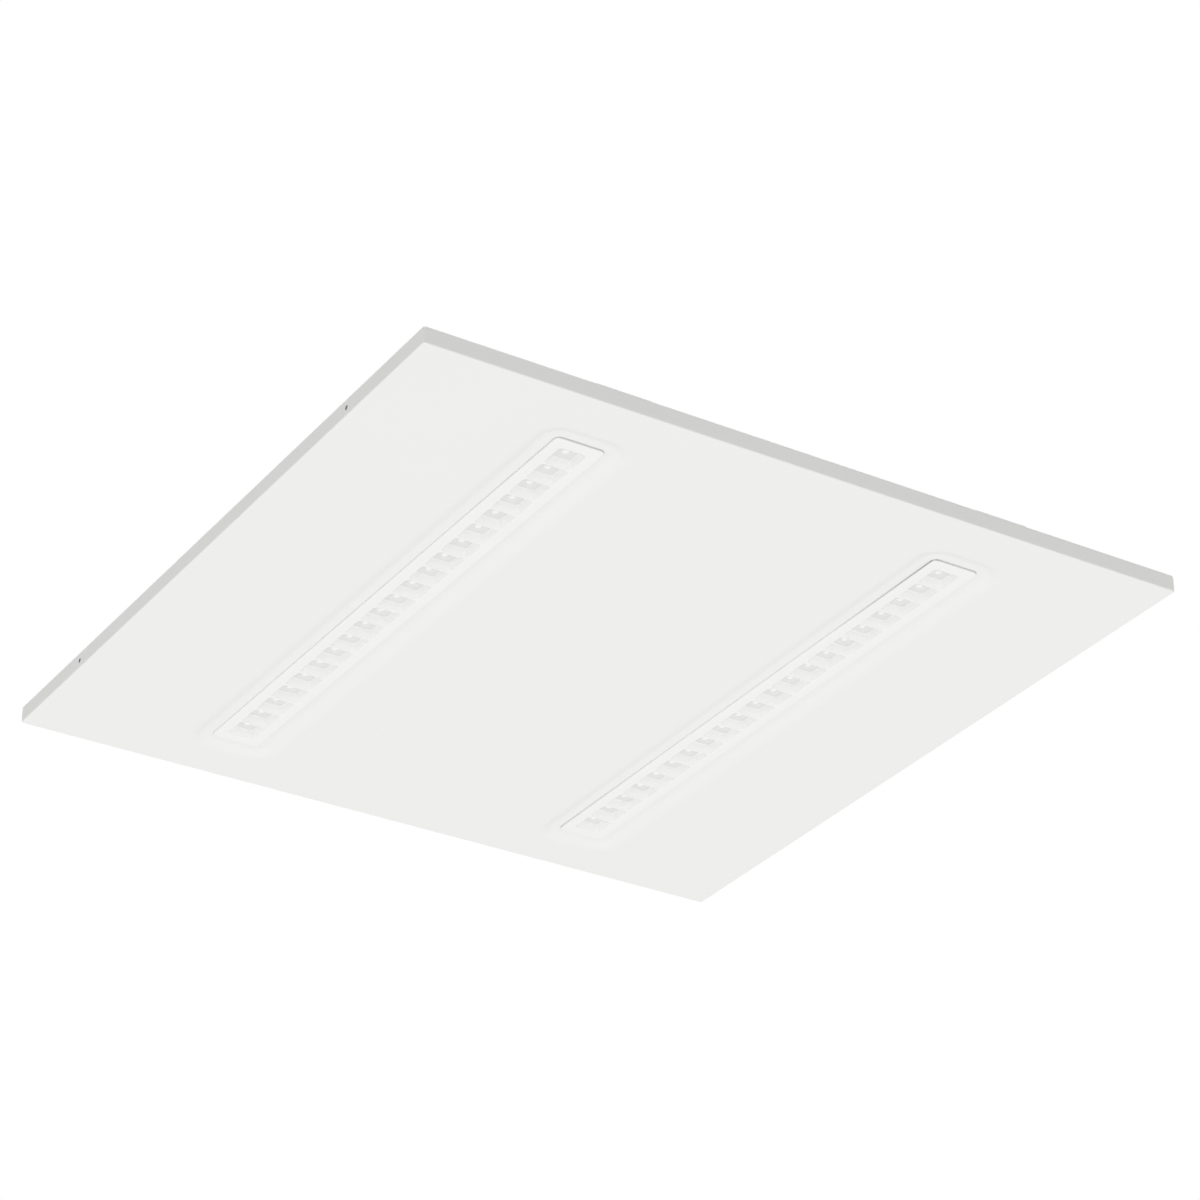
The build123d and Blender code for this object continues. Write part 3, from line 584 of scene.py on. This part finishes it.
def punchHoles(bm, half, top, returns, rowX):  # holes in two walls and in the returns
    steps = tray["holeSteps"]
    walls = [face for face in bm.faces if abs(face.normal.x) > meshing["facing"]
             and face.calc_area() > half * tray["bend"]]
    for wall in walls:
        x = wall.calc_center_median().x
        fillBetween(bm, wall, [
            roundRim(bm, (x, y, tray["sideHoleZ"]), tray["sideHole"], (1, 0, 0), steps)
            for y in (-tray["sideHoleY"], tray["sideHoleY"])])
    middle = half - (tray["returnWidth"] + tray["sheet"]) / 2
    for face in returns:
        centre = face.calc_center_median()
        if abs(centre.x) > abs(centre.y):
            x = middle if centre.x > 0 else -middle
            radius = tray["hangerHole"]
            spots = [(x, y, top) for y in (-tray["hangerY"], tray["hangerY"])]
        else:
            y = middle if centre.y > 0 else -middle
            radius = tray["railHole"]
            spots = [(x + step, y, top) for x in rowX
                     for step in (-tray["railHoleStep"], tray["railHoleStep"])]
        fillBetween(bm, face, [roundRim(bm, spot, radius, (0, 0, 1), steps) for spot in spots])


def lowestLarge(bm):
    return min(bm.faces, key=lambda face: face.calc_center_median().z - face.calc_area())


def makeTray(rowX):
    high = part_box("face_tray")[1]
    half, top = high[0], high[2]
    bm = bmesh.new()
    openBox(bm, half, top - tray["bend"])
    returns = foldReturns(bm, half, top)
    punchHoles(bm, half, top, returns, rowX)
    fillBetween(bm, lowestLarge(bm), [pressRecess(bm, x) for x in rowX])
    bmesh.ops.remove_doubles(bm, verts=bm.verts, dist=meshing["merge"])
    bmesh.ops.recalc_face_normals(bm, faces=bm.faces)
    if lowestLarge(bm).normal.z > 0:
        bmesh.ops.reverse_faces(bm, faces=bm.faces)
    bmesh.ops.solidify(bm, geom=bm.faces[:], thickness=tray["sheet"])
    finishPiece(bm, "faceTray", ["face_tray"], "panel_white", "light")


cells = {
    "count": 21, "pitch": 22.4 * mm, "mouth": (20.4 * mm, 20.9 * mm), "draft": (10, 16),
    "corner": 2.5 * mm, "cornerSteps": 6, "rimRound": 0.7 * mm, "rimSteps": 4,
    "baseRound": 1.2 * mm, "baseTurn": 60, "baseSteps": 4,
    "nose": (37.26 * mm, 487.6 * mm), "noseCorner": 4.2 * mm, "noseCornerSteps": 6,
    "noseRound": 0.9 * mm, "noseSteps": 5,
    "flangeZ": 3.3 * mm, "flangeThick": 1.4 * mm, "block": (24.6 * mm, 474.6 * mm),
}
cellMiddles = [(turn - (cells["count"] - 1) / 2) * cells["pitch"] for turn in range(cells["count"])]


def evenTurns(angle, steps):
    return [angle * (step + 1) / steps for step in range(steps)]


def stepFace(bm, face, centre, scale, rise):  # grows one ring of wall on a flat face
    face = bmesh.ops.extrude_discrete_faces(bm, faces=[face])["faces"][0]
    bmesh.ops.scale(bm, vec=(*scale, 1), verts=face.verts, space=Matrix.Translation(centre).inverted())
    bmesh.ops.translate(bm, vec=(0, 0, rise), verts=face.verts)
    return face


def pressCup(bm, y, front, back):  # a tapered cup with soft edges, open at its floor
    rim, base, baseTurn = cells["rimRound"], cells["baseRound"], radians(cells["baseTurn"])
    wallEnd = back - front - base
    known = set(bm.edges)
    face = flatSheet(bm, (0, y, front), *(span + 2 * rim for span in cells["mouth"]),
                     cells["corner"] + rim, cells["cornerSteps"])
    levels = [(rim * sin(turn), rim * (1 - cos(turn))) for turn in evenTurns(pi / 2, cells["rimSteps"])]
    levels.append((rim, wallEnd))
    levels += [(rim + base * (1 - cos(turn)), wallEnd + base * sin(turn) / sin(baseTurn))
               for turn in evenTurns(baseTurn, cells["baseSteps"])]
    slopes = [tan(radians(draft)) for draft in cells["draft"]]
    half = [span / 2 + rim for span in cells["mouth"]]
    reach, drop = half, 0
    for inset, depth in levels:
        slide = max(depth - rim, 0)
        nextReach = [span - inset - slide * slope for span, slope in zip(half, slopes)]
        shrink = [after / before for after, before in zip(nextReach, reach)]
        face = stepFace(bm, face, (0, y, 0), shrink, depth - drop)
        reach, drop = nextReach, depth
    bmesh.ops.delete(bm, geom=[face], context="FACES_ONLY")
    return [edge for edge in bm.edges if edge not in known and edge.is_boundary
            and edge.verts[0].co.z < (front + back) / 2]


def makeLouvre(side):
    low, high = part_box("louvre_" + side)
    front, back = low[2], high[2]
    nose, block, bend = cells["nose"], cells["block"], cells["noseRound"]
    flange = (high[0] - low[0], high[1] - low[1])
    flangeZ, flangeTop = cells["flangeZ"], cells["flangeZ"] + cells["flangeThick"]
    bm = bmesh.new()
    size = tuple(span - 2 * bend for span in nose)
    face = flatSheet(bm, (0, 0, front), *size, cells["noseCorner"] - bend, cells["noseCornerSteps"])
    # the nose, flange and block behind the front face
    shapes = [(tuple(span - 2 * bend * (1 - sin(turn)) for span in nose), front + bend * (1 - cos(turn)))
              for turn in evenTurns(pi / 2, cells["noseSteps"])]
    shapes += [(nose, flangeZ), (flange, flangeZ), (flange, flangeTop), (block, flangeTop), (block, back)]
    ring = list(face.edges)
    for nextSize, z in shapes:
        grown = bmesh.ops.extrude_edge_only(bm, edges=ring)["geom"]
        ring = pick(grown, bmesh.types.BMEdge)
        for vert in pick(grown, bmesh.types.BMVert):
            vert.co.x *= nextSize[0] / size[0]
            vert.co.y *= nextSize[1] / size[1]
            vert.co.z = z
        size = nextSize
    longSides = [edge for edge in ring if edge.calc_length() > cells["pitch"]]
    bmesh.ops.subdivide_edges(bm, edges=longSides, cuts=cells["count"] - 1)  # keeps the back fill even
    fillBetween(bm, face, [pressCup(bm, y, front, back) for y in cellMiddles])
    backRims = [edge for edge in bm.edges if edge.is_boundary]
    bmesh.ops.triangle_fill(bm, use_beauty=True, use_dissolve=False, edges=backRims)
    bmesh.ops.translate(bm, vec=((low[0] + high[0]) / 2, 0, 0), verts=bm.verts)
    bmesh.ops.remove_doubles(bm, verts=bm.verts, dist=meshing["merge"])
    bmesh.ops.recalc_face_normals(bm, faces=bm.faces)
    finishPiece(bm, "louvre" + side.capitalize(), ["louvre_" + side], "louvre_white", "light")


optics = {
    "plate": 2.5 * mm, "domeRadius": 3.0 * mm, "domeHeight": 1.2 * mm,
    "domeSteps": 6, "domeTip": 0.4, "domeSides": 32,
}


def raiseDome(bm, x, y, z):
    radius, height, steps = optics["domeRadius"], optics["domeHeight"], optics["domeSteps"]
    curve = (radius ** 2 + height ** 2) / (2 * height)
    known, knownFaces = set(bm.edges), set(bm.faces)
    bmesh.ops.create_circle(bm, cap_ends=True, segments=optics["domeSides"], radius=radius,
                            matrix=Matrix.Translation((x, y, z)))
    face = next(item for item in bm.faces if item not in knownFaces)
    reach, drop = radius, 0
    for step in range(steps):
        nextReach = radius * (1 - (step + 1) / (steps + optics["domeTip"]))
        depth = height - curve + sqrt(curve ** 2 - nextReach ** 2)
        face = stepFace(bm, face, (x, y, 0), (nextReach / reach, nextReach / reach), drop - depth)
        reach, drop = nextReach, depth
    return [edge for edge in bm.edges if edge not in known and edge.is_boundary]


def makeLens(side):
    low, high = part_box("lens_strip_" + side)
    x, under, thick = (low[0] + high[0]) / 2, high[2] - optics["plate"], optics["plate"]
    bm = bmesh.new()
    size = Matrix.Diagonal((high[0] - low[0], high[1] - low[1], thick, 1))
    bmesh.ops.create_cube(bm, size=1, matrix=Matrix.Translation((x, 0, under + thick / 2)) @ size)
    face = min(bm.faces, key=lambda item: item.calc_center_median().z)
    fillBetween(bm, face, [raiseDome(bm, x, y, under) for y in cellMiddles])
    bmesh.ops.recalc_face_normals(bm, faces=bm.faces)
    finishPiece(bm, "lens" + side.capitalize(), ["lens_strip_" + side], "lens_clear", "light")


wires = {
    "radius": 0.9 * mm, "sides": 14, "bend": 3.5 * mm, "bendSteps": 7,
    "poles": 5, "polePitch": 8 * mm, "supplyWires": 4, "ledWires": 4, "entryPitch": 6 * mm,
    "riserStart": 9 * mm, "plugHalf": 3 * mm, "nearLane": 13.5 * mm, "farLane": 19.5 * mm,
    "runs": {
        "left": ((1, "nearLane", -1), (2, "farLane", 1)),
        "right": ((3, "farLane", -1), (4, "nearLane", 1)),
    },
}


def supplyRoutes():
    start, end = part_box("terminal_block")[1][0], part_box("driver_cover")[0][0]
    middle, quarter = middleOf("terminal_block", 1), (end - start) / 4
    middlePole, middleWire = (wires["poles"] - 1) / 2, (wires["supplyWires"] - 1) / 2
    routes = []
    for pole in range(wires["supplyWires"]):
        poleY = middle + (pole - middlePole) * wires["polePitch"]
        entryY = middle + (pole - middleWire) * wires["entryPitch"]
        routes.append([(start, poleY), (start + quarter, poleY), (end - quarter, entryY), (end, entryY)])
    return routes


def ledRoutes(side):
    start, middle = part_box("driver_cover")[1][0], middleOf("driver_cover", 1)
    plug, plugFront = middleOf("board_connector_" + side, 0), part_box("board_connector_" + side)[0][1]
    middleRiser = (wires["ledWires"] + 1) / 2
    routes = []
    for riser, lane, way in wires["runs"][side]:
        startY = middle + (middleRiser - riser) * wires["entryPitch"]
        riserX = start + wires["riserStart"] + riser * wires["entryPitch"]
        laneY, endX = wires[lane], plug + way * wires["plugHalf"]
        routes.append([
            (start, startY), (riserX, startY), (riserX, laneY), (endX, laneY), (endX, plugFront)])
    return routes


def drawWire(bm, points):  # a round wire with even bends, in one level plane
    bend = wires["bend"]
    ways = [(after - before).normalized() for before, after in zip(points, points[1:])]
    ring = roundRim(bm, points[0], wires["radius"], ways[0], wires["sides"])
    bmesh.ops.contextual_create(bm, geom=ring)
    spot = points[0]
    for corner, before, after in zip(points[1:], ways, ways[1:] + [None]):
        angle = before.angle(after) if after else 0
        goal = corner - before * bend * tan(angle / 2)
        grown = bmesh.ops.extrude_edge_only(bm, edges=ring)["geom"]
        ring = pick(grown, bmesh.types.BMEdge)
        bmesh.ops.translate(bm, vec=goal - spot, verts=pick(grown, bmesh.types.BMVert))
        if after:
            axis = before.cross(after).normalized()
            centre = goal + axis.cross(before) * bend
            made = bmesh.ops.spin(bm, geom=ring, cent=centre, axis=axis, dvec=(0, 0, 0), angle=angle,
                                  steps=wires["bendSteps"], use_merge=False, use_duplicate=False)
            ring = pick(made["geom_last"], bmesh.types.BMEdge)
            spot = corner + after * bend * tan(angle / 2)
    bmesh.ops.contextual_create(bm, geom=ring)


def makeWires(node, routes, slot):
    level = middleOf(node, 2)
    bm = bmesh.new()
    for route in routes:
        drawWire(bm, [Vector((x, y, level)) for x, y in route])
    bmesh.ops.recalc_face_normals(bm, faces=bm.faces)
    finishPiece(bm, "round_" + node, [node], slot, "light")


makeTray([-rowReach, rowReach])
makeWires("supply_wires", supplyRoutes(), "wire_insulation")
for side in ("left", "right"):
    makeLouvre(side)
    makeLens(side)
    makeWires("led_wires_" + side, ledRoutes(side), "wire_insulation")
earthLow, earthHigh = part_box("earth_wire")
earthY = middleOf("earth_wire", 1)
makeWires("earth_wire", [[(earthLow[0], earthY), (earthHigh[0], earthY)]], "earth_insulation")


# floor, light and camera

studio = {
    "floorZ": -3.3, "floorHalf": 80, "floorColour": (0.86, 0.86, 0.86),
    "floorClouds": (0.98, 1.02), "floorGrain": 400, "floorGlow": 0.8,
    "below": 1.03, "above": 0.15, "left": 0.13, "near": 0.13, "horizon": 0.3,
    "softboxHeight": 2.0, "softboxSize": 1.6, "softboxPower": 34,
}


def makeFloor():
    bm = bmesh.new()
    level = Matrix.Translation((0, 0, studio["floorZ"]))
    bmesh.ops.create_grid(bm, x_segments=1, y_segments=1, size=studio["floorHalf"], matrix=level)
    mesh = bpy.data.meshes.new("floor")
    bm.to_mesh(mesh)
    bm.free()
    floor = bpy.data.objects.new("floor", mesh)
    bpy.context.scene.collection.objects.link(floor)
    f = newFinish("pale floor")
    pale = f.clouded(f.noise(studio["floorGrain"]), studio["floorColour"], studio["floorClouds"])
    lit = f.node("ShaderNodeBsdfDiffuse", None, {"Color": pale})
    seen = f.node("ShaderNodeEmission", None, {"Color": pale, "Strength": 1.0})
    glow = f.seenRays() * studio["floorGlow"]
    f.node("ShaderNodeOutputMaterial", None, {
        "Surface": f.node("ShaderNodeMixShader", None, {0: glow, 1: lit, 2: seen})})
    mesh.materials.append(f.owner)
    floor.visible_diffuse = False  # light from below reaches the underside
    floor.visible_shadow = False


def makeLight():
    world = bpy.data.worlds.new("studio")
    bpy.context.scene.world = world
    f = Finish(world)
    x, y, z = f.split(f.node("ShaderNodeTexCoord", out="Generated"))
    low = f.ramp(z, studio["horizon"], -studio["horizon"], curve="SMOOTHSTEP")
    level = studio["above"] + low * (studio["below"] - studio["above"])
    level = level - x * studio["left"] - y * studio["near"]
    white = f.node("ShaderNodeBackground", None, {"Color": (1, 1, 1, 1), "Strength": 1.0})
    soft = f.node("ShaderNodeBackground", None, {"Color": (1, 1, 1, 1), "Strength": level})
    f.node("ShaderNodeOutputWorld", None, {
        "Surface": f.node("ShaderNodeMixShader", None, {0: f.seenRays(), 1: soft, 2: white})})
    lamp = bpy.data.lights.new("softbox over the back", "AREA")
    lamp.size = studio["softboxSize"]
    lamp.energy = studio["softboxPower"]
    box = bpy.data.objects.new("softbox", lamp)
    box.location = (0, 0, studio["softboxHeight"])
    box.visible_camera = False
    box.visible_glossy = False
    bpy.context.scene.collection.objects.link(box)


view = {
    "eye": (-1.2555, -2.0333, -1.2986), "right": (0.84861, -0.52901, -0.00274),
    "up": (-0.25775, -0.41798, 0.87113), "lens": 114.9, "sensor": 36, "clipEnd": 100,
}


def makeCamera():
    camera = bpy.data.cameras.new("camera")
    camera.lens = view["lens"]
    camera.sensor_width = view["sensor"]
    camera.clip_end = view["clipEnd"]
    holder = bpy.data.objects.new("camera", camera)
    right, up = Vector(view["right"]).normalized(), Vector(view["up"]).normalized()
    turn = Matrix((right, up, right.cross(up))).transposed().to_4x4()
    holder.matrix_world = Matrix.Translation(view["eye"]) @ turn
    bpy.context.scene.collection.objects.link(holder)
    bpy.context.scene.camera = holder


makeFloor()
makeLight()
makeCamera()
bpy.context.scene.view_settings.view_transform = "Standard"
